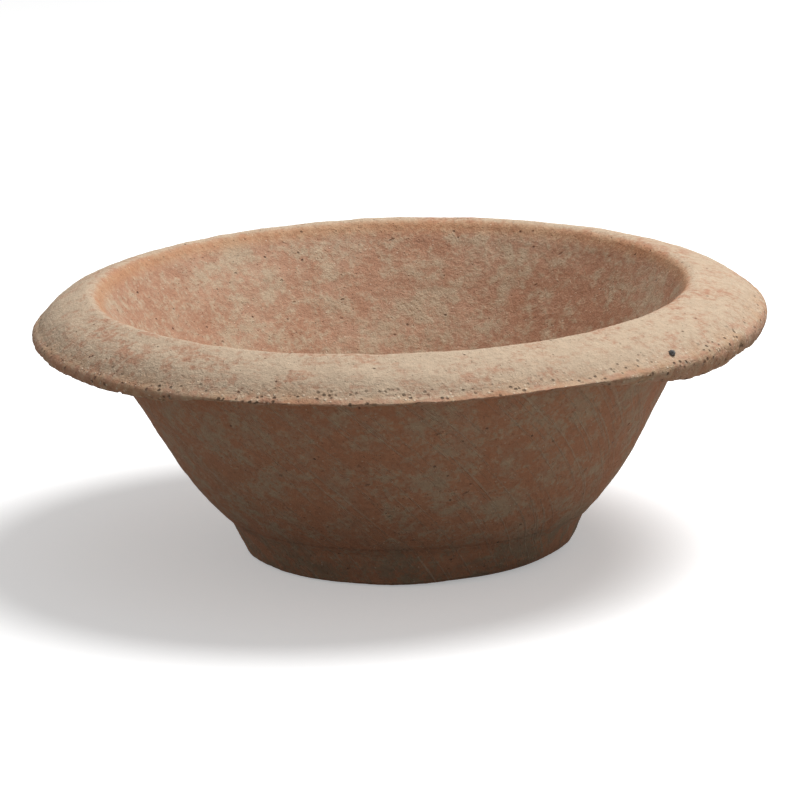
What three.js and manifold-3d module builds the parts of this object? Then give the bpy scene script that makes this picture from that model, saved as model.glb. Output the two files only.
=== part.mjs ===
// Hand-built earthenware bowl with a broad sloping flange, on a low ring foot.
// Millimetres, +Z up. The origin is on the table under the middle of the flange.
import * as THREE from 'three';
import { mergeVertices } from 'three/addons/utils/BufferGeometryUtils.js';
import Module from 'manifold-3d';

// Overall sizes
const HEIGHT = 110;
const MOUTH_RADIUS = 120;
const FLANGE_WIDTH = 30;

// Ring foot, its recess and the floor laid over it
const FOOT_RADIUS = 67.5;
const FOOT_FLARE = 5.5;
const FOOT_HEIGHT = 14.6;
const FOOT_EDGE_ROUND = 2;
const BEARING_INSET = 7;
const BEARING_WIDTH = 11;
const RECESS_DEPTH = 7;
const RECESS_TAPER = 3;
const FLOOR_THICKNESS = 10.5;

// Body wall, which bends at the knee
const WALL_THICKNESS = 10.5;
const KNEE_RADIUS = 93.7;
const KNEE_ABOVE_FOOT = 25.4;
const LOWER_WALL_BOW = 1.4;
const COLLAR_OUT = 1.6;
const INNER_FLOOR_ROUND = 9;

// Flange that leans out from the mouth
const FLANGE_DEPTH = 19.2;
const EDGE_THICKNESS = 8;
const EDGE_ROUND = 3.6;
const CREST_ROUND = 4;
const SHOULDER_OUT = 17;
const SHOULDER_DROP = 6.8;

// Drift of the hand-built shape away from a true circle
const FOOT_SHIFT = new THREE.Vector2(2.35, 0);
const COLLAR_SHIFT = new THREE.Vector2(-1.05, 0);
const CREST_SHIFT = new THREE.Vector2(-2.65, 1.1);
const CREST_TILT = 1;
const EDGE_TILT = 2.4;

// Dark mineral grain that stands in the flange
const GRAIN_RADIUS = 1.7;
const GRAIN_STRETCH = new THREE.Vector3(1.15, 0.85, 0.9);
const GRAIN_ANGLE = THREE.MathUtils.degToRad(-43);
const GRAIN_FROM_EDGE = 5;
const GRAIN_CLEARANCE = 0.3;
const GRAIN_DETAIL = 1;

const AROUND = 60;
const CURVE_STEPS = 4;
const MERGE_TOLERANCE = 1e-3;

// Heights and radii that follow from the sizes above
const floorTop = RECESS_DEPTH + FLOOR_THICKNESS;
const kneeHeight = FOOT_HEIGHT + KNEE_ABOVE_FOOT;
const collarHeight = HEIGHT - FLANGE_DEPTH;
const rimRadius = MOUTH_RADIUS + FLANGE_WIDTH;
const collarRadius = MOUTH_RADIUS + COLLAR_OUT;
const footTopRadius = FOOT_RADIUS + FOOT_FLARE;
const bearingOuterRadius = FOOT_RADIUS - BEARING_INSET;
const bearingInnerRadius = bearingOuterRadius - BEARING_WIDTH;
const crestRadius = MOUTH_RADIUS + CREST_ROUND;
const shoulderRadius = crestRadius + SHOULDER_OUT;
const shoulderHeight = HEIGHT - SHOULDER_DROP;
const edgeTopRadius = rimRadius - EDGE_ROUND;
const edgeTopHeight = collarHeight + EDGE_THICKNESS;

const point = (r, z) => new THREE.Vector2(r, z);
const share = (value, start, end) => THREE.MathUtils.clamp((value - start) / (end - start), 0, 1);

// Outside of the foot and of the wall over it: a straight flare, a slight bow, then straight.
function outerRadiusAt(z) {
  if (z <= FOOT_HEIGHT) {
    return THREE.MathUtils.lerp(FOOT_RADIUS, footTopRadius, share(z, FOOT_EDGE_ROUND, FOOT_HEIGHT));
  }
  if (z <= kneeHeight) {
    const up = share(z, FOOT_HEIGHT, kneeHeight);
    return THREE.MathUtils.lerp(footTopRadius, KNEE_RADIUS, up) + LOWER_WALL_BOW * Math.sin(Math.PI * up);
  }
  return THREE.MathUtils.lerp(KNEE_RADIUS, collarRadius, share(z, kneeHeight, collarHeight));
}

// A sloping wall is wider along the horizontal than it is thick.
const lowerSlope = Math.atan2(KNEE_ABOVE_FOOT, KNEE_RADIUS - footTopRadius);
const upperSlope = Math.atan2(collarHeight - kneeHeight, collarRadius - KNEE_RADIUS);
const kneeInnerRadius = KNEE_RADIUS - WALL_THICKNESS / Math.sin((lowerSlope + upperSlope) / 2);
const collarInnerRadius = collarRadius - WALL_THICKNESS / Math.sin(upperSlope);
const floorRadius = outerRadiusAt(floorTop) - WALL_THICKNESS / Math.sin(lowerSlope) - INNER_FLOOR_ROUND / 2;

// Points up the outside from one height to another, with the corner over the foot if it lies between.
function outsideFrom(start, end, count) {
  const heights = [];
  for (let i = 0; i <= count; i += 1) {
    heights.push(THREE.MathUtils.lerp(start, end, i / count));
  }
  const hasCorner = heights.some((z) => Math.abs(z - FOOT_HEIGHT) < MERGE_TOLERANCE);
  if (FOOT_HEIGHT > start && FOOT_HEIGHT < end && !hasCorner) heights.push(FOOT_HEIGHT);
  return heights.sort((a, b) => a - b).map((z) => point(outerRadiusAt(z), z));
}

// Each drift fades in where its member starts, so every seat between members stays level.
function drift(position) {
  const radius = Math.hypot(position.x, position.y);
  const up = share(position.z, 0, collarHeight);
  const outward = share(radius, collarRadius, rimRadius);
  const crestward = share(position.z, collarHeight, HEIGHT) * (1 - outward);
  const shift = FOOT_SHIFT.clone().lerp(COLLAR_SHIFT, up);
  shift.lerp(new THREE.Vector2(), outward).lerp(CREST_SHIFT, crestward);
  const tilt = (position.x / rimRadius) * (EDGE_TILT * outward + CREST_TILT * crestward);
  return new THREE.Vector3(position.x + shift.x, position.y + shift.y, position.z + tilt);
}

// Joins shared corners and leaves out the flat triangles that a lathe makes on its axis.
function closedGeometry(geometry) {
  geometry.deleteAttribute('normal');
  geometry.deleteAttribute('uv');
  const merged = mergeVertices(geometry, MERGE_TOLERANCE);
  const index = merged.index.array;
  const kept = [];
  for (let i = 0; i < index.length; i += 3) {
    const [a, b, c] = [index[i], index[i + 1], index[i + 2]];
    if (a !== b && b !== c && c !== a) kept.push(a, b, c);
  }
  merged.setIndex(kept);
  return merged;
}

// Turns a closed outline, listed anticlockwise with the axis on its left, into a drifted ring.
function turned(outline) {
  const lathe = new THREE.LatheGeometry(outline, AROUND);
  lathe.rotateX(Math.PI / 2);
  const position = lathe.getAttribute('position');
  for (let i = 0; i < position.count; i += 1) {
    const moved = drift(new THREE.Vector3().fromBufferAttribute(position, i));
    position.setXYZ(i, moved.x, moved.y, moved.z);
  }
  return closedGeometry(lathe);
}

function closeRing(points) {
  return [...points, points[0].clone()];
}

function footRing() {
  return turned(closeRing([
    point(bearingInnerRadius, 0),
    point(bearingOuterRadius, 0),
    point(FOOT_RADIUS - FOOT_EDGE_ROUND, FOOT_EDGE_ROUND / 4),
    ...outsideFrom(FOOT_EDGE_ROUND, RECESS_DEPTH, 1),
    point(bearingInnerRadius - RECESS_TAPER, RECESS_DEPTH),
    point(bearingInnerRadius - RECESS_TAPER / 2, FOOT_EDGE_ROUND),
  ]));
}

function floorDisc() {
  return turned([
    point(0, RECESS_DEPTH),
    point(bearingInnerRadius - RECESS_TAPER, RECESS_DEPTH),
    ...outsideFrom(RECESS_DEPTH, floorTop, 1),
    point(floorRadius, floorTop),
    point(0, floorTop),
  ]);
}

// The inside rises from the floor in a soft curve and meets the upper wall at the knee.
function lowerWall() {
  const outside = outsideFrom(floorTop, kneeHeight, CURVE_STEPS);
  const corner = point(floorRadius + INNER_FLOOR_ROUND, floorTop + INNER_FLOOR_ROUND / 4);
  const inside = new THREE.QuadraticBezierCurve(
    point(kneeInnerRadius, kneeHeight),
    corner,
    point(floorRadius, floorTop),
  ).getPoints(CURVE_STEPS);
  return turned([point(floorRadius, floorTop), ...outside, ...inside]);
}

function upperWall() {
  const outside = outsideFrom(kneeHeight, collarHeight, CURVE_STEPS);
  const inside = new THREE.LineCurve(
    point(collarInnerRadius, collarHeight),
    point(kneeInnerRadius, kneeHeight),
  ).getPoints(CURVE_STEPS);
  return turned(closeRing([...outside, ...inside]));
}

// The flange's upper face runs from the crest over a shoulder to the rounded edge.
function collarOutline() {
  const edge = new THREE.QuadraticBezierCurve(
    point(edgeTopRadius, collarHeight),
    point(rimRadius + EDGE_ROUND, (collarHeight + edgeTopHeight) / 2),
    point(edgeTopRadius, edgeTopHeight),
  );
  const crest = new THREE.QuadraticBezierCurve(
    point(crestRadius, HEIGHT),
    point(MOUTH_RADIUS, HEIGHT),
    point(MOUTH_RADIUS, HEIGHT - CREST_ROUND),
  );
  return closeRing([
    point(collarInnerRadius, collarHeight),
    point(collarRadius, collarHeight),
    ...edge.getPoints(CURVE_STEPS),
    point(shoulderRadius, shoulderHeight),
    ...crest.getPoints(CURVE_STEPS),
  ]);
}

// Middle of the grain: on the flange's upper face below the shoulder, half sunk into the clay.
function grainPlace() {
  const radius = rimRadius - GRAIN_FROM_EDGE;
  const down = share(radius, shoulderRadius, edgeTopRadius);
  const height = THREE.MathUtils.lerp(shoulderHeight, edgeTopHeight, down);
  return drift(new THREE.Vector3(
    radius * Math.cos(GRAIN_ANGLE),
    radius * Math.sin(GRAIN_ANGLE),
    height,
  ));
}

function grainGeometry(radius) {
  const grain = new THREE.IcosahedronGeometry(radius, GRAIN_DETAIL);
  grain.scale(GRAIN_STRETCH.x, GRAIN_STRETCH.y, GRAIN_STRETCH.z);
  grain.rotateZ(GRAIN_ANGLE);
  const place = grainPlace();
  grain.translate(place.x, place.y, place.z);
  return closedGeometry(grain);
}

// The collar with the pocket that the grain fills.
async function rimCollar() {
  const wasm = await Module();
  wasm.setup();
  const solid = (geometry) => new wasm.Manifold(new wasm.Mesh({
    numProp: 3,
    vertProperties: new Float32Array(geometry.getAttribute('position').array),
    triVerts: new Uint32Array(geometry.index.array),
  }));
  const pocket = grainGeometry(GRAIN_RADIUS + GRAIN_CLEARANCE);
  const cut = solid(turned(collarOutline())).subtract(solid(pocket)).getMesh();
  const geometry = new THREE.BufferGeometry();
  geometry.setAttribute('position', new THREE.BufferAttribute(cut.vertProperties, 3));
  geometry.setIndex(new THREE.BufferAttribute(cut.triVerts, 1));
  return geometry;
}

function member(name, geometry, colour, roughness) {
  const material = new THREE.MeshStandardMaterial({ color: colour, roughness, metalness: 0 });
  const mesh = new THREE.Mesh(geometry, material);
  mesh.name = name;
  return mesh;
}

const group = new THREE.Group();
group.add(
  member('foot_ring', footRing(), 0x6b5746, 0.95),
  member('floor_disc', floorDisc(), 0xa8866c, 0.92),
  member('lower_wall', lowerWall(), 0x97705a, 0.93),
  member('upper_wall', upperWall(), 0xa3775f, 0.92),
  member('rim_collar', await rimCollar(), 0xc0a488, 0.9),
  member('rim_grain', grainGeometry(GRAIN_RADIUS), 0x2c2a28, 0.4),
);

export default group;
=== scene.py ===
import math

import bmesh
import bpy
from mathutils import Matrix, Vector, noise

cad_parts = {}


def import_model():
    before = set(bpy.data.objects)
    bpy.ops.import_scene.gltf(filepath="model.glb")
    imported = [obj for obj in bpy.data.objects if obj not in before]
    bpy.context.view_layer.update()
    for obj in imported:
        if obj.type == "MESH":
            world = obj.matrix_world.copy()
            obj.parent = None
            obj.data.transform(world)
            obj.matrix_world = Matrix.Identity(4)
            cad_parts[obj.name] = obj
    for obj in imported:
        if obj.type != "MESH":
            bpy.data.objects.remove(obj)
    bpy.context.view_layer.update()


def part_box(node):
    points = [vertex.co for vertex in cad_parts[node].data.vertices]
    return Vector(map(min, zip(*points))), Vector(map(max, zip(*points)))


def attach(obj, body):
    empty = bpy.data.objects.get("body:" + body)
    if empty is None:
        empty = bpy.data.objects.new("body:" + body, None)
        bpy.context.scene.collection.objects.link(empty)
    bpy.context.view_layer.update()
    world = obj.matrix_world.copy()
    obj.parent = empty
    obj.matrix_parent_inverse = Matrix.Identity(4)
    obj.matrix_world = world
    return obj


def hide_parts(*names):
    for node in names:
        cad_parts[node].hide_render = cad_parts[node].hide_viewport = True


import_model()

MM = 0.001
TINY = 1e-6


# Sizes read from the frame

def half_width(node):
    low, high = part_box(node)
    return (high.y - low.y) / 2


recess_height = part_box("foot_ring")[1].z
floor_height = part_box("floor_disc")[1].z
knee_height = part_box("lower_wall")[1].z
collar_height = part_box("upper_wall")[1].z
knee_radius = half_width("lower_wall")
collar_radius = half_width("upper_wall")
rim_radius = half_width("rim_collar")
foot_seat_radius = half_width("foot_ring")
floor_seat_radius = half_width("floor_disc")

# Sizes of the section that the boxes don't give
CREST_HEIGHT = 110 * MM
MOUTH_RADIUS = 120 * MM
CREST_ROUND = 4 * MM
LIP_ROUND = 1.8 * MM
TOP_CORNER = (134 * MM, 108 * MM)
SHOULDER = (141 * MM, 103.2 * MM)
EDGE_CORNER = 2 * MM
EDGE_ROUND = 3.6 * MM
EDGE_THICKNESS = 8 * MM
FOOT_RADIUS = 67.5 * MM
FOOT_ROUND = 2 * MM
FOOT_TOP_RADIUS = 73 * MM
FOOT_TOP_HEIGHT = 14.6 * MM
BEARING_INNER = 49.5 * MM
BEARING_OUTER = 60.5 * MM
RECESS_RADIUS = 46.5 * MM
RECESS_CORNER = 1 * MM
FLOOR_RADIUS = 57.8 * MM
FLOOR_CORNER_OUT = 11.7 * MM
FLOOR_CORNER_UP = 1.5 * MM
KNEE_INNER = 81 * MM
COLLAR_INNER = 109.6 * MM
LOWER_BOW = 1.4 * MM

# Points of radius and height on the line through the middle of the clay
CORE_FLOOR = Vector((62, 12.2)) * MM
CORE_KNEE = Vector((87, 40)) * MM
CORE_COLLAR = Vector((115.6, 90.8)) * MM
CORE_CREST = Vector((124, 101)) * MM
CORE_EDGE = Vector((144, 95)) * MM
CORE_FOOT_TOP = Vector((57, 12.2)) * MM
CORE_FOOT = Vector((57, 4)) * MM

# Drift of the hand-built shape, as the frame has it
FOOT_DRIFT = Vector((2.35, 0, 0)) * MM
COLLAR_DRIFT = Vector((-1.05, 0, 0)) * MM
CREST_DRIFT = Vector((-2.65, 1.1, 0)) * MM
CREST_TILT = 1 * MM
EDGE_TILT = 2.4 * MM

# Fineness of the surface
AROUND = 640
SPACING = 1.4 * MM
SEAT_SPACING = 4 * MM
SHARP_ANGLE = math.radians(50)

# Faces of the bowl, and the heights and radii over which one passes into the next
ZONE_NAMES = ("top", "edge", "inside", "foot", "lip")
TOP_HEIGHTS = (96.5 * MM, 99.5 * MM)
LIP_HEIGHTS = (102 * MM, 107 * MM)
FOOT_HEIGHTS = (8 * MM, 30 * MM)
CREST_RADII = (119 * MM, 122 * MM)
EDGE_RADII = (rim_radius - 9 * MM, rim_radius - 2.5 * MM)
SIDE_BLEND = 3 * MM

# Lower edge of the flange: worn thin along the front, with a bite, and drooping at the right.
# Angles are in degrees round the bowl, with the front at -90.
THIN_FROM = (-134, -116)
THIN_TO = (-64, -50)
THIN_LIFT = 3.6 * MM
BITE_AT = -66
BITE_REACH = 11
BITE_LIFT = 1.6 * MM
DROOP_FROM = (-52, -36)
DROOP_TO = (20, 75)
DROOP = 3.8 * MM
UNDERSIDE_HEIGHTS = (90 * MM, 98.5 * MM)
OVERHANG_RADII = (collar_radius + 3 * MM, rim_radius - 4 * MM)

# The foot's toe is worn round at the front right
TOE_FROM = (-95, -55)
TOE_TO = (10, 60)
TOE_WEAR = 2.4 * MM

# Relief of the whole surface: waves per metre, and heights in millimetres
SLOW_RATE, SLOW_HEIGHT = 22, 0.45
DENT_RATE, DENT_HEIGHT = 75, 0.30
FINE_RATE, FINE_HEIGHT = 420, 0.13
LINE_TURNS, LINE_RATE = 2.2, 330
LINE_HEIGHT, LINE_INSIDE, LINE_TOP = 0.05, 0.10, 0.03
PIT_CELLS, PIT_RARITY, PIT_RATE, PIT_DEPTH = 190, 0.86, 380, 0.28

# Wear of the flange's edge and of the crest. The losses are in millimetres, and with them the relief
# stays inside the frame's box.
EDGE_LOSS = 0.3
CREST_LOSS = 0.65
CREST_WORN = (104 * MM, 109 * MM)
CRUMB_RATE = 260
CRUMB_START = 0.1
CRUMB_LOSS = 1.3
CRUMB_TOP = 0.2
SKIN_LOSS = 0.35
SKIN_HEIGHTS = (93 * MM, 98 * MM)

# How the relief fades near the middle of the clay and on the face that the bowl stands on
RELIEF_DEPTHS = (0.5 * MM, 4 * MM)
CONTACT_HEIGHT = 0.3 * MM
CONTACT_SHARE = 0.3


def share(value, start, end):
    return min(1.0, max(0.0, (value - start) / (end - start)))


def ease(value, start, end):
    t = share(value, start, end)
    return t * t * (3 - 2 * t)


def line(start, end, spacing=SPACING):
    """Points from start up to, and not with, end."""
    count = max(1, round(math.dist(start, end) / spacing))
    return [tuple(a + (b - a) * i / count for a, b in zip(start, end)) for i in range(count)]


def bend(start, corner, end, spacing=SPACING):
    """Points on a soft bend from start up to, and not with, end."""
    length = math.dist(start, corner) + math.dist(corner, end)
    count = max(2, round(length / spacing))
    points = []
    for i in range(count):
        t = i / count
        points.append(tuple(
            a * (1 - t) ** 2 + 2 * b * t * (1 - t) + c * t * t
            for a, b, c in zip(start, corner, end)
        ))
    return points


def lower_wall_radius(z):
    up = share(z, FOOT_TOP_HEIGHT, knee_height)
    return FOOT_TOP_RADIUS + (knee_radius - FOOT_TOP_RADIUS) * up + LOWER_BOW * math.sin(math.pi * up)


# Stretches of the line through the middle of the clay, floor to edge, and down into the foot
core = [
    (Vector((0, CORE_FLOOR.y)), CORE_FLOOR),
    (CORE_FLOOR, CORE_KNEE),
    (CORE_KNEE, CORE_COLLAR),
    (CORE_COLLAR, CORE_CREST),
    (CORE_CREST, CORE_EDGE),
    (CORE_FOOT_TOP, CORE_FOOT),
]


def outward(r, z):
    """Direction and distance from the middle of the clay to a point on its surface."""
    here = Vector((r, z))
    nearest, least = None, math.inf
    for a, b in core:
        along = b - a
        t = min(1.0, max(0.0, (here - a).dot(along) / along.length_squared))
        gap = here - (a + along * t)
        if gap.length < least:
            nearest, least = gap, gap.length
    if least < TINY:
        return Vector((0, 0)), 0.0
    return nearest / least, least


def drift(position):
    """The frame's own drift away from a true circle."""
    radius = math.hypot(position.x, position.y)
    up = share(position.z, 0, collar_height)
    out = share(radius, collar_radius, rim_radius)
    crestward = share(position.z, collar_height, CREST_HEIGHT) * (1 - out)
    shift = FOOT_DRIFT.lerp(COLLAR_DRIFT, up) * (1 - out)
    shift = shift.lerp(CREST_DRIFT, crestward)
    shift.z += position.x / rim_radius * (EDGE_TILT * out + CREST_TILT * crestward)
    return shift


def is_inside(r, z):
    """1 on the inner face of the bowl, 0 on its outside and underneath, soft across the crest."""
    if z > knee_height:
        lower, upper = CORE_KNEE, CORE_COLLAR
    elif z > CORE_FLOOR.y:
        lower, upper = CORE_FLOOR, CORE_KNEE
    else:
        return 0.0
    middle = lower.x + (z - lower.y) * (upper.x - lower.x) / (upper.y - lower.y)
    return 1 - ease(r, middle - SIDE_BLEND, middle + SIDE_BLEND)


def zones(r, z):
    """How far a point belongs to each face in ZONE_NAMES."""
    top = ease(z, *TOP_HEIGHTS) * ease(r, *CREST_RADII)
    edge = ease(r, *EDGE_RADII)
    inside = is_inside(r, z) * (1 - top)
    foot = (1 - ease(z, *FOOT_HEIGHTS)) * (1 - inside)
    lip = ease(z, *LIP_HEIGHTS) * (1 - ease(r, *CREST_RADII))
    return top, edge, inside, foot, lip


def relief(position):
    """Height of the hand-smoothed, worn surface over the turned one."""
    r = math.hypot(position.x, position.y)
    z = position.z
    top, edge, inside = zones(r, z)[:3]
    angle = math.atan2(position.y, position.x)
    ring = Vector((math.cos(angle), math.sin(angle), 0))
    slow = noise.fractal(position * SLOW_RATE, 1.0, 2.0, 3)
    dents = noise.fractal(position * DENT_RATE + Vector((3, 7, 1)), 0.9, 2.0, 3)
    fine = noise.fractal(position * FINE_RATE + Vector((9, 2, 5)), 0.7, 2.1, 3)
    lines = noise.fractal(ring * LINE_TURNS + Vector((0, 0, (r - z) * LINE_RATE)), 0.8, 2.0, 3)
    height = SLOW_HEIGHT * slow + DENT_HEIGHT * dents + FINE_HEIGHT * fine
    height += (LINE_HEIGHT + LINE_INSIDE * inside + LINE_TOP * top) * lines
    # The edge of the flange has lost its skin and crumbs of clay.
    crumbs = noise.fractal(position * CRUMB_RATE + Vector((1, 8, 4)), 0.6, 2.2, 4)
    low_edge = edge * (1 - ease(z, *SKIN_HEIGHTS))
    height -= EDGE_LOSS * edge + CREST_LOSS * ease(z, *CREST_WORN)
    height -= low_edge * (SKIN_LOSS + CRUMB_LOSS * max(0.0, crumbs + CRUMB_START))
    height += edge * (1 - low_edge) * CRUMB_TOP * crumbs
    # Pits where sand fell out.
    if noise.cell(position * PIT_CELLS) > PIT_RARITY:
        height -= PIT_DEPTH * max(0.0, noise.noise(position * PIT_RATE)) * (1 + low_edge)
    return height * MM


def wear_lift(position):
    """Lift or droop of the flange's lower edge and of the foot's toe: up where it is positive."""
    r = math.hypot(position.x, position.y)
    angle = math.degrees(math.atan2(position.y, position.x))
    lift = THIN_LIFT * ease(angle, *THIN_FROM) * (1 - ease(angle, *THIN_TO))
    lift += BITE_LIFT * math.exp(-((angle - BITE_AT) / BITE_REACH) ** 2)
    lift -= DROOP * ease(angle, *DROOP_FROM) * (1 - ease(angle, *DROOP_TO))
    lowness = 1 - ease(position.z, *UNDERSIDE_HEIGHTS)
    out = ease(r, *OVERHANG_RADII)
    toe = TOE_WEAR * ease(angle, *TOE_FROM) * (1 - ease(angle, *TOE_TO))
    toe *= ease(r, BEARING_OUTER, FOOT_RADIUS) * (1 - ease(position.z, 0, recess_height))
    return lift * lowness * out + toe


def worn(position):
    """Where a point of the turned shape lies on the real, drifted and worn bowl."""
    r = math.hypot(position.x, position.y)
    direction, distance = outward(r, position.z)
    lift = relief(position) * ease(distance, *RELIEF_DEPTHS)
    if position.z < CONTACT_HEIGHT:
        lift = min(lift, 0.0) * CONTACT_SHARE
    moved = position + drift(position)
    if r > TINY:
        moved += Vector((position.x / r, position.y / r, 0)) * direction.x * lift
    moved.z += direction.y * lift + wear_lift(position)
    moved.z = max(moved.z, 0.0)
    return moved


def paint_zones(data, ideal):
    """Stores on each vertex which face of the bowl it belongs to."""
    values = [zones(math.hypot(p.x, p.y), p.z) for p in ideal]
    for i, zone in enumerate(ZONE_NAMES):
        attribute = data.attributes.new(zone, "FLOAT", "POINT")
        attribute.data.foreach_set("value", [v[i] for v in values])


def add_piece(name, data, material, node):
    """Puts a finished mesh in the scene in place of a node."""
    piece = bpy.data.objects.new(name, data)
    bpy.context.scene.collection.objects.link(piece)
    data.materials.append(material)
    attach(piece, "root")
    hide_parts(node)


def turned_piece(name, node, outline, closed=True):
    """Spins an outline of radius and height round the axis, then wears its surface."""
    mesh = bmesh.new()
    first = [mesh.verts.new((r, 0, z)) for r, z in outline]
    edges = [mesh.edges.new(pair) for pair in zip(first, first[1:])]
    if closed:
        edges.append(mesh.edges.new((first[-1], first[0])))
    bmesh.ops.spin(
        mesh, geom=first + edges, cent=(0, 0, 0), axis=(0, 0, 1), dvec=(0, 0, 0),
        angle=math.tau, steps=AROUND, use_merge=True, use_normal_flip=False, use_duplicate=False,
    )
    bmesh.ops.remove_doubles(mesh, verts=mesh.verts, dist=TINY)
    bmesh.ops.recalc_face_normals(mesh, faces=mesh.faces)
    for edge in mesh.edges:
        if len(edge.link_faces) == 2 and edge.calc_face_angle() > SHARP_ANGLE:
            edge.smooth = False
    for face in mesh.faces:
        face.smooth = True
    ideal = [v.co.copy() for v in mesh.verts]
    for v in mesh.verts:
        v.co = worn(v.co)
    data = bpy.data.meshes.new(name)
    mesh.to_mesh(data)
    mesh.free()
    paint_zones(data, ideal)
    add_piece(name, data, clay, node)


# Materials

class Nodes:
    """Short calls that add nodes to one tree and link them."""

    def __init__(self, tree):
        self.tree = tree

    def add(self, kind, **settings):
        node = self.tree.nodes.new(kind)
        for key, value in settings.items():
            setattr(node, key, value)
        return node

    def feed(self, target, source):
        if isinstance(source, bpy.types.NodeSocket):
            self.tree.links.new(source, target)
        else:
            target.default_value = source

    def math(self, operation, a, b=0.0, c=0.0):
        node = self.add("ShaderNodeMath", operation=operation)
        for target, source in zip(node.inputs, (a, b, c)):
            self.feed(target, source)
        return node.outputs[0]

    def times(self, a, b):
        return self.math("MULTIPLY", a, b)

    def total(self, *terms):
        """Sum of values, each given with its weight."""
        result = 0.0
        for value, weight in terms:
            result = self.math("MULTIPLY_ADD", value, weight, result)
        return result

    def vector(self, operation, a, b=(0, 0, 0)):
        node = self.add("ShaderNodeVectorMath", operation=operation)
        self.feed(node.inputs[0], a)
        self.feed(node.inputs[1], b)
        return node.outputs[0]

    def noise(self, place, scale, detail, roughness, distortion=0.0):
        node = self.add("ShaderNodeTexNoise")
        self.feed(node.inputs["Vector"], place)
        node.inputs["Scale"].default_value = scale
        node.inputs["Detail"].default_value = detail
        node.inputs["Roughness"].default_value = roughness
        node.inputs["Distortion"].default_value = distortion
        return node.outputs["Fac"]

    def band(self, value, low, high, out_low=0.0, out_high=1.0):
        """A soft step from out_low to out_high as value goes from low to high."""
        node = self.add("ShaderNodeMapRange", interpolation_type="SMOOTHSTEP")
        for target, source in zip(node.inputs, (value, low, high, out_low, out_high)):
            self.feed(target, source)
        return node.outputs[0]

    def mix(self, amount, a, b, blend="MIX"):
        node = self.add("ShaderNodeMix", data_type="RGBA", blend_type=blend)
        self.feed(node.inputs[0], amount)
        self.feed(node.inputs[6], a)
        self.feed(node.inputs[7], b)
        return node.outputs[2]

    def group(self, group, place, **values):
        node = self.add("ShaderNodeGroup", node_tree=group)
        self.feed(node.inputs["Object"], place)
        for key, value in values.items():
            self.feed(node.inputs[key], value)
        return node.outputs[0]

    def bump(self, height):
        node = self.add("ShaderNodeBump")
        node.inputs["Strength"].default_value = 1.0
        node.inputs["Distance"].default_value = 1.0
        self.feed(node.inputs["Height"], height)
        return node.outputs[0]

    def seen(self):
        """1 where the camera looks, straight or through glass or a mirror, and 0 for other light."""
        path = self.add("ShaderNodeLightPath").outputs
        either = self.math("MAXIMUM", path["Is Camera Ray"], path["Is Glossy Ray"])
        return self.math("MAXIMUM", either, path["Is Transmission Ray"])


def linear(red, green, blue):
    """A colour given as it looks on a screen, from 0 to 255, as light."""
    def channel(value):
        value /= 255
        return value / 12.92 if value <= 0.04045 else ((value + 0.055) / 1.055) ** 2.4
    return (channel(red), channel(green), channel(blue), 1.0)


def new_group(name, inputs, output, kind):
    """A node group with a place and some values going in, and one value or place coming out."""
    group = bpy.data.node_groups.new(name, "ShaderNodeTree")
    group.interface.new_socket(name="Object", in_out="INPUT", socket_type="NodeSocketVector")
    for label, value in inputs.items():
        made = group.interface.new_socket(name=label, in_out="INPUT", socket_type="NodeSocketFloat")
        made.default_value = value
    group.interface.new_socket(name=output, in_out="OUTPUT", socket_type=kind)
    n = Nodes(group)
    return group, n, n.add("NodeGroupInput").outputs


def turned_place_group():
    """A place that changes slowly round the bowl and quickly across it, for marks left by hand or brush.

    Twist slants the marks: it is how far they turn per metre of height.
    """
    inputs = {"Round": 3.0, "Across": 300.0, "Twist": 0.0}
    group, n, given = new_group("turned_place", inputs, "Place", "NodeSocketVector")
    split = n.add("ShaderNodeSeparateXYZ")
    n.feed(split.inputs[0], given["Object"])
    flat = n.vector("MULTIPLY", given["Object"], (1, 1, 0))
    length = n.add("ShaderNodeVectorMath", operation="LENGTH")
    n.feed(length.inputs[0], flat)
    ring = n.vector("NORMALIZE", flat)
    slant = n.add("ShaderNodeVectorRotate", rotation_type="Z_AXIS")
    n.feed(slant.inputs["Vector"], ring)
    n.feed(slant.inputs["Angle"], n.times(split.outputs["Z"], given["Twist"]))
    around = n.add("ShaderNodeVectorMath", operation="SCALE")
    n.feed(around.inputs[0], slant.outputs[0])
    n.feed(around.inputs["Scale"], given["Round"])
    across = n.math("SUBTRACT", length.outputs["Value"], split.outputs["Z"])
    lift = n.add("ShaderNodeCombineXYZ")
    n.feed(lift.inputs["Z"], n.times(across, given["Across"]))
    result = n.add("NodeGroupOutput")
    n.feed(result.inputs[0], n.vector("ADD", around.outputs[0], lift.outputs[0]))
    return group


SPECK_CORE = 0.35


def pores_group():
    """Scattered round specks: 1 in the middle of a speck, 0 between them."""
    inputs = {"Scale": 300.0, "Size": 0.25, "Rarity": 0.7}
    group, n, given = new_group("pores", inputs, "Mask", "NodeSocketFloat")
    cells = n.add("ShaderNodeTexVoronoi")
    n.feed(cells.inputs["Vector"], given["Object"])
    n.feed(cells.inputs["Scale"], given["Scale"])
    core_size = n.times(given["Size"], SPECK_CORE)
    speck = n.band(cells.outputs["Distance"], core_size, given["Size"], 1.0, 0.0)
    split = n.add("ShaderNodeSeparateColor")
    n.feed(split.inputs[0], cells.outputs["Color"])
    chosen = n.math("GREATER_THAN", split.outputs[0], given["Rarity"])
    result = n.add("NodeGroupOutput")
    n.feed(result.inputs[0], n.times(speck, chosen))
    return group


turned_place = turned_place_group()
pores = pores_group()

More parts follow.
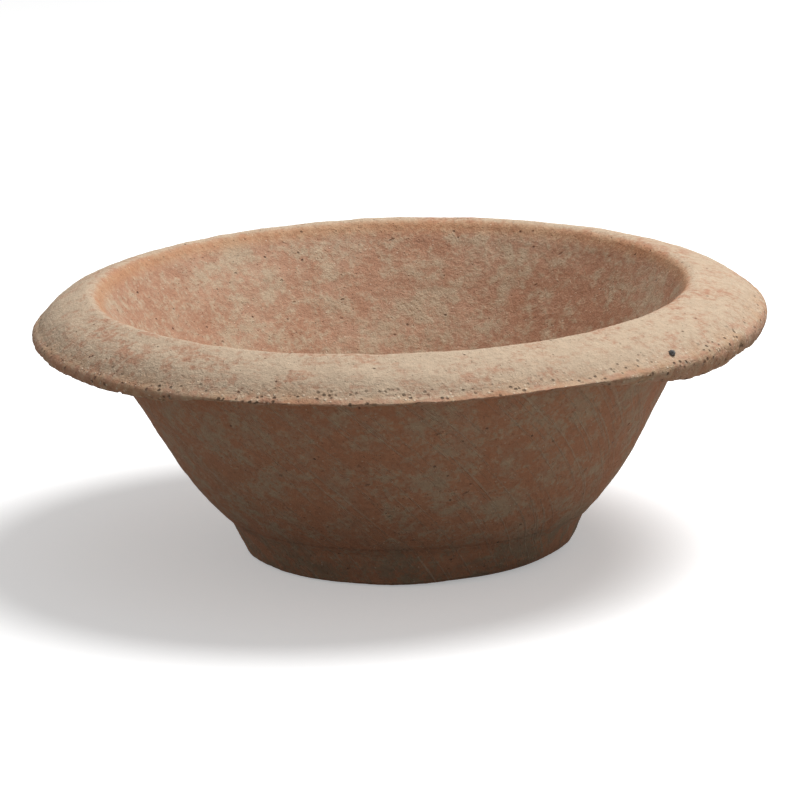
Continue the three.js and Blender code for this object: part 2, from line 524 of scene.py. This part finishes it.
# Colours of the clay
CLAY = linear(194, 155, 130)
CLAY_DEEP = linear(182, 138, 112)
CLAY_RED = linear(188, 132, 100)
# Orange used as painted shade: under the inner lip it is painted shade, and on the flange's edge it is worn
# clay and painted shade
CLAY_ORANGE_SHADE = linear(192, 140, 100)
BLOOM = linear(200, 182, 158)
BLOOM_GREY = linear(180, 164, 138)
GRIME = linear(124, 110, 90)
# Painted shade: dark brown put in the holes, nicks and grit pits
PORE_SHADE = linear(84, 64, 48)
CRUMB = linear(226, 208, 184)

# How strongly each layer covers what is under it
RED_COVER = 0.5
BLOOM_COVER = 0.8
# The orange under the lip is painted shade below the crest
LIP_SHADE_COVER = 0.55
# The orange on the flange's edge is worn clay and partly painted shade of the edge
RUBBED_SHADE_COVER = 0.35
GRIME_COVER = 0.7
STROKE_COVER = 0.4
NICK_SLANT = math.radians(28)

# Colours of the mineral grain
MINERAL_DARK = linear(22, 22, 24)
MINERAL_GREY = linear(64, 62, 58)
# Painted highlight: pale specks stand for glints of light on the glassy grain
MINERAL_GLINT = linear(205, 204, 198)


def new_material(name):
    material = bpy.data.materials.new(name)
    material.use_nodes = True
    material.node_tree.nodes.clear()
    return material, Nodes(material.node_tree)


def finish_material(n, colour, roughness, height, **constants):
    """The shader of a material, fed with its colour, roughness and bump."""
    shader = n.add("ShaderNodeBsdfPrincipled")
    for label, value in constants.items():
        shader.inputs[label.replace("_", " ")].default_value = value
    n.feed(shader.inputs["Base Color"], colour)
    n.feed(shader.inputs["Roughness"], roughness)
    n.feed(shader.inputs["Normal"], n.bump(height))
    result = n.add("ShaderNodeOutputMaterial")
    n.feed(result.inputs["Surface"], shader.outputs[0])


def clay_marks(n, place):
    """The noises that the clay is mottled and marked with. Those laid round the bowl get their scale there."""
    shifted = n.vector("ADD", place, (0.3, 0.1, 0.2))
    shifted_more = n.vector("ADD", place, (0.1, 0.4, 0.2))
    smoothed = n.group(turned_place, place, Round=7.0, Across=300.0)
    combed = n.group(turned_place, place, Round=22.0, Across=1000.0)
    stroked = n.group(turned_place, place, Round=58.0, Across=46.0, Twist=9.0)
    return {
        "clouds": n.noise(place, 24, 4, 0.55, 0.3),
        "patches": n.noise(shifted, 85, 5, 0.6, 0.3),
        "spots": n.noise(shifted_more, 230, 4, 0.6),
        "small": n.noise(place, 520, 4, 0.65),
        "sand": n.noise(place, 1500, 3, 0.7),
        "streaks": n.noise(smoothed, 1.0, 4, 0.6),
        "hair": n.noise(combed, 1.0, 4, 0.6),
        "brushed": n.noise(stroked, 1.0, 4, 0.6),
    }


def clay_colour(n, zone, marks):
    """Pinkish body with red spots, under a pale bloom that is thickest on top of the flange."""
    body = n.mix(n.band(marks["clouds"], 0.35, 0.66), CLAY_DEEP, CLAY)
    red = n.band(n.total((marks["patches"], 0.5), (marks["small"], 0.5)), 0.52, 0.66)
    body = n.mix(n.times(red, RED_COVER), body, CLAY_RED)
    spread = n.total(
        (marks["clouds"], 0.2), (marks["patches"], 0.3), (marks["spots"], 0.35),
        (marks["small"], 0.3), (marks["streaks"], 0.2), (zone["top"], 0.08), (zone["inside"], 0.01),
    )
    bloom = n.band(spread, 0.62, 0.78)
    paleness = n.total((zone["top"], 0.6), (zone["inside"], 0.3), (marks["spots"], 0.3))
    colour = n.mix(n.times(bloom, BLOOM_COVER), body, n.mix(paleness, BLOOM_GREY, BLOOM))
    # Painted shade: the inner face just under the crest is darkened to orange
    colour = n.mix(n.times(zone["lip"], LIP_SHADE_COVER), colour, CLAY_ORANGE_SHADE)
    # The flange's edge is worn to orange clay in patches, and this orange is partly painted shade of the edge
    rubbed_and_shaded = n.times(zone["edge"], n.band(marks["patches"], 0.4, 0.65))
    colour = n.mix(n.times(rubbed_and_shaded, RUBBED_SHADE_COVER), colour, CLAY_ORANGE_SHADE)
    dirt = n.total((marks["patches"], 0.6), (marks["clouds"], 0.6), (zone["foot"], 0.25))
    return n.mix(n.times(n.band(dirt, 0.55, 0.95), n.times(zone["foot"], GRIME_COVER)), colour, GRIME)


def clay_specks(n, place, zone, marks):
    """Holes, nicks, sand grains and the gritty edge, each as a mask from 0 to 1."""
    moved = n.vector("ADD", place, (0.05, 0.02, 0.07))
    slanted = n.add("ShaderNodeVectorRotate", rotation_type="Y_AXIS")
    slanted.inputs["Angle"].default_value = NICK_SLANT
    n.feed(slanted.inputs["Vector"], place)
    stretched = n.vector("MULTIPLY", slanted.outputs[0], (0.3, 1, 1))
    nicks = n.group(pores, stretched, Scale=210.0, Size=0.14, Rarity=0.72)
    worn_edge = n.times(zone["edge"], n.band(marks["spots"], 0.38, 0.55))
    return {
        "holes": n.group(pores, place, Scale=150.0, Size=0.11, Rarity=0.5),
        "small_holes": n.group(pores, place, Scale=620.0, Size=0.28, Rarity=0.78),
        "nicks": n.times(nicks, n.math("SUBTRACT", 1.0, zone["top"])),
        "crumbs": n.group(pores, moved, Scale=520.0, Size=0.26, Rarity=0.85),
        "bright": n.times(n.group(pores, moved, Scale=500.0, Size=0.36, Rarity=0.45), worn_edge),
        "grit": n.times(n.group(pores, place, Scale=420.0, Size=0.40, Rarity=0.4), worn_edge),
    }


def clay_material():
    """Fired clay without glaze: mottled body, pale bloom, smoothing marks, pores with painted shade, sand and
    grime.
    """
    material, n = new_material("fired_clay")
    place = n.add("ShaderNodeTexCoord").outputs["Object"]
    zone = {
        name: n.add("ShaderNodeAttribute", attribute_name=name).outputs["Fac"]
        for name in ZONE_NAMES
    }
    marks = clay_marks(n, place)
    specks = clay_specks(n, place, zone, marks)
    colour = clay_colour(n, zone, marks)

    # The outside is redder between its patches of bloom, and brushed.
    outside = n.math("SUBTRACT", 1.0, n.math("MAXIMUM", zone["top"], zone["inside"]))
    outside = n.times(outside, n.math("SUBTRACT", 1.0, zone["edge"]))
    between = n.total((marks["patches"], 0.6), (marks["small"], 0.4))
    reddish = n.band(between, 0.44, 0.56, 0.75, 0.1)
    colour = n.mix(n.times(outside, reddish), colour, CLAY_RED)
    strokes = n.times(n.band(marks["brushed"], 0.54, 0.66), outside)
    colour = n.mix(n.times(strokes, STROKE_COVER), colour, BLOOM)

    # Fine light and dark of the sandy body.
    level = n.total(
        (marks["small"], 0.5), (marks["sand"], 0.45), (marks["hair"], 0.15), (marks["spots"], 0.3),
    )
    tint = n.add("ShaderNodeCombineColor")
    for channel in tint.inputs:
        n.feed(channel, n.math("ADD", level, 0.29))
    colour = n.mix(1.0, colour, tint.outputs[0], "MULTIPLY")

    # The dark brown in holes, small holes, nicks and grit is painted shade in the pits
    for name, cover, speck_colour in (
        ("holes", 0.7, PORE_SHADE), ("small_holes", 0.3, PORE_SHADE), ("nicks", 0.35, PORE_SHADE),
        ("crumbs", 0.5, CRUMB), ("bright", 0.75, CRUMB), ("grit", 0.8, PORE_SHADE),
    ):
        colour = n.mix(n.times(specks[name], cover), colour, speck_colour)

    # Heights are in metres.
    height = n.total(
        (marks["small"], 0.0007), (marks["sand"], 0.0002), (marks["hair"], 0.00018),
        (n.times(marks["streaks"], zone["inside"]), 0.0003), (strokes, 0.00022),
        (specks["holes"], -0.0004), (specks["small_holes"], -0.0002), (specks["nicks"], -0.0005),
        (specks["grit"], -0.0006), (specks["crumbs"], 0.00012), (specks["bright"], 0.00025),
    )
    roughness = n.band(marks["small"], 0.3, 0.8, 0.82, 0.98)
    finish_material(n, colour, roughness, height, Specular_IOR_Level=0.25)
    return material


def grain_material():
    """Dark glassy mineral with pale specks painted as glints of light."""
    material, n = new_material("dark_mineral")
    place = n.add("ShaderNodeTexCoord").outputs["Object"]
    glint_specks = n.noise(place, 900, 4, 0.7)
    clouds = n.noise(place, 380, 3, 0.6)
    colour = n.mix(n.band(clouds, 0.4, 0.6), MINERAL_DARK, MINERAL_GREY)
    # Painted highlight: pale specks where light glints on the grain
    colour = n.mix(n.band(glint_specks, 0.58, 0.66), colour, MINERAL_GLINT)
    roughness = n.band(clouds, 0.3, 0.7, 0.2, 0.5)
    finish_material(n, colour, roughness, n.times(glint_specks, 0.0002))
    return material


clay = clay_material()
dark_mineral = grain_material()


# Pieces

def foot_ring():
    bearing_edge = (FOOT_RADIUS - FOOT_ROUND, FOOT_ROUND / 4)
    outline = line((BEARING_INNER, 0), (BEARING_OUTER, 0))
    outline += line((BEARING_OUTER, 0), bearing_edge)
    outline += bend(bearing_edge, (FOOT_RADIUS, FOOT_ROUND / 3), (FOOT_RADIUS, FOOT_ROUND))
    outline += line((FOOT_RADIUS, FOOT_ROUND), (foot_seat_radius, recess_height))
    outline += line((foot_seat_radius, recess_height), (RECESS_RADIUS, recess_height), SEAT_SPACING)
    recess_corner = (RECESS_RADIUS + RECESS_CORNER, 0)
    outline += bend((RECESS_RADIUS, recess_height), recess_corner, (BEARING_INNER, 0))
    turned_piece("clay_foot_ring", "foot_ring", outline)


def floor_disc():
    outline = line((0, recess_height), (RECESS_RADIUS, recess_height))
    outline += line((RECESS_RADIUS, recess_height), (foot_seat_radius, recess_height), SEAT_SPACING)
    outline += line((foot_seat_radius, recess_height), (FOOT_TOP_RADIUS, FOOT_TOP_HEIGHT))
    outline += line((FOOT_TOP_RADIUS, FOOT_TOP_HEIGHT), (floor_seat_radius, floor_height))
    outline += line((floor_seat_radius, floor_height), (FLOOR_RADIUS, floor_height), SEAT_SPACING)
    outline += line((FLOOR_RADIUS, floor_height), (0, floor_height))
    outline.append((0, floor_height))
    turned_piece("clay_floor", "floor_disc", outline, closed=False)


def lower_wall():
    outline = []
    rows = round((knee_height - floor_height) / SPACING)
    for i in range(rows):
        z = floor_height + (knee_height - floor_height) * i / rows
        outline.append((lower_wall_radius(z), z))
    outline += line((knee_radius, knee_height), (KNEE_INNER, knee_height), SEAT_SPACING)
    corner = (FLOOR_RADIUS + FLOOR_CORNER_OUT, floor_height + FLOOR_CORNER_UP)
    outline += bend((KNEE_INNER, knee_height), corner, (FLOOR_RADIUS, floor_height))
    outline += line((FLOOR_RADIUS, floor_height), (floor_seat_radius, floor_height), SEAT_SPACING)
    turned_piece("clay_lower_wall", "lower_wall", outline)


def upper_wall():
    outline = line((knee_radius, knee_height), (collar_radius, collar_height))
    outline += line((collar_radius, collar_height), (COLLAR_INNER, collar_height), SEAT_SPACING)
    outline += line((COLLAR_INNER, collar_height), (KNEE_INNER, knee_height))
    outline += line((KNEE_INNER, knee_height), (knee_radius, knee_height), SEAT_SPACING)
    turned_piece("clay_upper_wall", "upper_wall", outline)


def rim_collar():
    edge_radius = rim_radius - EDGE_ROUND
    edge_top = collar_height + EDGE_THICKNESS
    crest = (MOUTH_RADIUS + CREST_ROUND, CREST_HEIGHT)
    lip = (MOUTH_RADIUS - LIP_ROUND, CREST_HEIGHT - CREST_ROUND)
    outline = line((COLLAR_INNER, collar_height), (collar_radius, collar_height), SEAT_SPACING)
    outline += line((collar_radius, collar_height), (edge_radius, collar_height))
    belly = (rim_radius + EDGE_ROUND, collar_height + EDGE_THICKNESS / 2)
    outline += bend((edge_radius, collar_height), belly, (edge_radius, edge_top))
    edge_corner = (edge_radius - EDGE_CORNER, edge_top + EDGE_CORNER)
    outline += bend((edge_radius, edge_top), edge_corner, SHOULDER)
    outline += bend(SHOULDER, TOP_CORNER, crest)
    outline += bend(crest, (MOUTH_RADIUS - LIP_ROUND / 2, CREST_HEIGHT), lip)
    outline += line(lip, (COLLAR_INNER, collar_height))
    turned_piece("clay_rim", "rim_collar", outline)


# Shape of the grain, in shares of its half size
GRAIN_BODY = 0.84
GRAIN_CHIP = 0.12
GRAIN_BULGE = 0.1


def rim_grain():
    """A broken, dull-cornered crystal half sunk in the flange."""
    low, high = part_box("rim_grain")
    centre = (low + high) / 2
    mesh = bmesh.new()
    bmesh.ops.create_icosphere(mesh, subdivisions=4, radius=1.0)
    size = (high - low) / 2
    for v in mesh.verts:
        chip = GRAIN_CHIP * noise.cell(v.co * 1.7 + Vector((4, 1, 2)))
        place = v.co * (GRAIN_BODY + (chip + GRAIN_BULGE * noise.noise(v.co * 2.3)))
        v.co = centre + Vector((place.x * size.x, place.y * size.y, place.z * size.z))
    data = bpy.data.meshes.new("mineral_grain")
    mesh.to_mesh(data)
    mesh.free()
    add_piece("mineral_grain", data, dark_mineral, "rim_grain")


foot_ring()
floor_disc()
lower_wall()
upper_wall()
rim_collar()
rim_grain()


# Studio

CAMERA_TARGET = Vector((-1.05, 0, 53.2)) * MM
CAMERA_DISTANCE = 2.103
CAMERA_HEIGHT_ANGLE = math.radians(14.2)
CAMERA_ROLL = math.radians(1.3)
CAMERA_LENS = 231.2
CAMERA_SENSOR = 36
CAMERA_REACH = 20
FRAME_RIGHT = 0.63 * MM
FRAME_UP = 6.75 * MM

FLOOR_REACH = 8
FLOOR_SEEN = (0.95, 0.95, 0.95, 1)
FLOOR_THROWN = (0.32, 0.29, 0.26, 1)
FLOOR_GLOW = 0.35
WHITE = (1, 1, 1, 1)

LAMP_PLACE = Vector((0.6, 0.2, 1.5))
LAMP_TARGET = Vector((0, 0, 0.08))
LAMP_SIZE = 1.0
LAMP_POWER = 26
SKY_SEEN = 1.0
SKY_LIGHT = 0.33


def camera():
    data = bpy.data.cameras.new("camera")
    data.lens = CAMERA_LENS
    data.sensor_width = CAMERA_SENSOR
    data.clip_end = CAMERA_REACH
    e = CAMERA_HEIGHT_ANGLE
    right, up = Vector((1, 0, 0)), Vector((0, math.sin(e), math.cos(e)))
    back = Vector((0, -math.cos(e), math.sin(e)))
    c, s = math.cos(CAMERA_ROLL), math.sin(CAMERA_ROLL)
    camera_right, camera_up = right * c - up * s, right * s + up * c
    turn = Matrix((camera_right, camera_up, back)).transposed()
    place = CAMERA_TARGET + back * CAMERA_DISTANCE + camera_right * FRAME_RIGHT + camera_up * FRAME_UP
    made = bpy.data.objects.new("camera", data)
    made.matrix_world = Matrix.Translation(place) @ turn.to_4x4()
    bpy.context.scene.collection.objects.link(made)
    bpy.context.scene.camera = made


def floor():
    """Pale floor that looks white, but throws little light back up under the bowl."""
    mesh = bmesh.new()
    bmesh.ops.create_grid(mesh, x_segments=2, y_segments=2, size=FLOOR_REACH)
    data = bpy.data.meshes.new("floor")
    mesh.to_mesh(data)
    mesh.free()
    made = bpy.data.objects.new("floor", data)
    bpy.context.scene.collection.objects.link(made)
    material, n = new_material("pale_floor")
    seen = n.seen()
    shader = n.add("ShaderNodeBsdfPrincipled")
    shader.inputs["Roughness"].default_value = 1.0
    shader.inputs["Specular IOR Level"].default_value = 0.0
    shader.inputs["Emission Color"].default_value = WHITE
    n.feed(shader.inputs["Base Color"], n.mix(seen, FLOOR_THROWN, FLOOR_SEEN))
    n.feed(shader.inputs["Emission Strength"], n.times(seen, FLOOR_GLOW))
    result = n.add("ShaderNodeOutputMaterial")
    n.feed(result.inputs["Surface"], shader.outputs[0])
    data.materials.append(material)


def lamp():
    data = bpy.data.lights.new("top_light", "AREA")
    data.shape = "DISK"
    data.size = LAMP_SIZE
    data.energy = LAMP_POWER
    made = bpy.data.objects.new("top_light", data)
    made.location = LAMP_PLACE
    made.rotation_euler = (LAMP_TARGET - LAMP_PLACE).to_track_quat("-Z", "Y").to_euler()
    bpy.context.scene.collection.objects.link(made)


def world():
    """White where the camera looks past the floor, soft grey as light."""
    made = bpy.data.worlds.new("studio")
    made.use_nodes = True
    made.node_tree.nodes.clear()
    n = Nodes(made.node_tree)
    background = n.add("ShaderNodeBackground")
    background.inputs["Color"].default_value = WHITE
    strength = n.math("MULTIPLY_ADD", n.seen(), SKY_SEEN - SKY_LIGHT, SKY_LIGHT)
    n.feed(background.inputs["Strength"], strength)
    result = n.add("ShaderNodeOutputWorld")
    n.feed(result.inputs["Surface"], background.outputs[0])
    bpy.context.scene.world = made


camera()
floor()
lamp()
world()
bpy.context.scene.view_settings.view_transform = "Standard"
